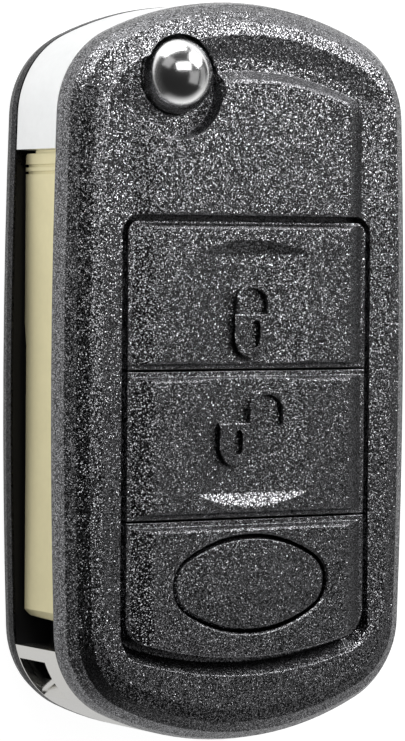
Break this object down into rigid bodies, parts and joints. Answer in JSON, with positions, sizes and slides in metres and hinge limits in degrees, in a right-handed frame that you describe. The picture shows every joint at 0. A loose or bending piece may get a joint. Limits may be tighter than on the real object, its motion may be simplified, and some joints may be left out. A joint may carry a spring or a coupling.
{
  "type": "folding car key fob",
  "caption": "Folding car key: dark sparkle plastic fob with lock, unlock and oval buttons, a domed release button, a metal swing-out blade folded in its side and a key-ring lug.",
  "frame": {"origin": "on the back face, under the middle of the outline", "axes": "+X towards the fob's right seen from the front, +Y towards the end with the swinging head, +Z out of the front face with the buttons"},
  "size_m": [0.042, 0.076, 0.0182],
  "materials": {
    "sparkle_plastic": "satin with fine silver sparkle",
    "case_plastic": "satin",
    "black_plastic": "matte",
    "chrome": "polished",
    "satin_chrome": "satin",
    "blade_brass": "satin nickel silver",
    "steel": "bright",
    "copper": "bright copper",
    "seal_rubber": "matte",
    "board_green": "lacquered"
  },
  "bodies": {
    "case": {"front_shell": "sparkle_plastic", "back_shell": "case_plastic", "slot_liner": "black_plastic", "keyring_lug": "chrome", "oval_bezel": "sparkle_plastic", "seal_membrane": "seal_rubber", "circuit_board": "board_green", "lock_switch": "black_plastic", "unlock_switch": "black_plastic", "oval_switch": "black_plastic", "coin_cell": "steel", "battery_strap": "steel", "battery_contact": "steel", "transponder": "black_plastic", "radio_chip": "black_plastic", "crystal": "steel", "antenna": "copper", "flip_spring": "steel"},
    "blade": {"blade_head": "satin_chrome", "key_blade": "blade_brass", "blade_pin": "steel"},
    "release": {"release_button": "chrome"},
    "lock": {"lock_button": "sparkle_plastic"},
    "unlock": {"unlock_button": "sparkle_plastic"},
    "oval": {"oval_button": "sparkle_plastic"}
  },
  "joints": [
    {"name": "blade_flip", "type": "hinge", "parent": "case", "child": "blade", "pos_m": [-0.0085, 0.0302, 0.0074], "axis": [0, 0, -1], "range_deg": [0, 180]},
    {"name": "release_press", "type": "slide", "parent": "case", "child": "release", "axis": [0, 0, -1], "range_m": [0, 0.0018], "stiffness_N_per_m": 1500, "springref_m": -0.0012, "deforming": ["flip_spring"]},
    {"name": "lock_press", "type": "slide", "parent": "case", "child": "lock", "axis": [0, 0, -1], "range_m": [0, 0.0004], "stiffness_N_per_m": 5000, "springref_m": -0.0002},
    {"name": "unlock_press", "type": "slide", "parent": "case", "child": "unlock", "axis": [0, 0, -1], "range_m": [0, 0.0004], "stiffness_N_per_m": 5000, "springref_m": -0.0002},
    {"name": "oval_press", "type": "slide", "parent": "case", "child": "oval", "axis": [0, 0, -1], "range_m": [0, 0.0004], "stiffness_N_per_m": 5000, "springref_m": -0.0002}
  ]
}
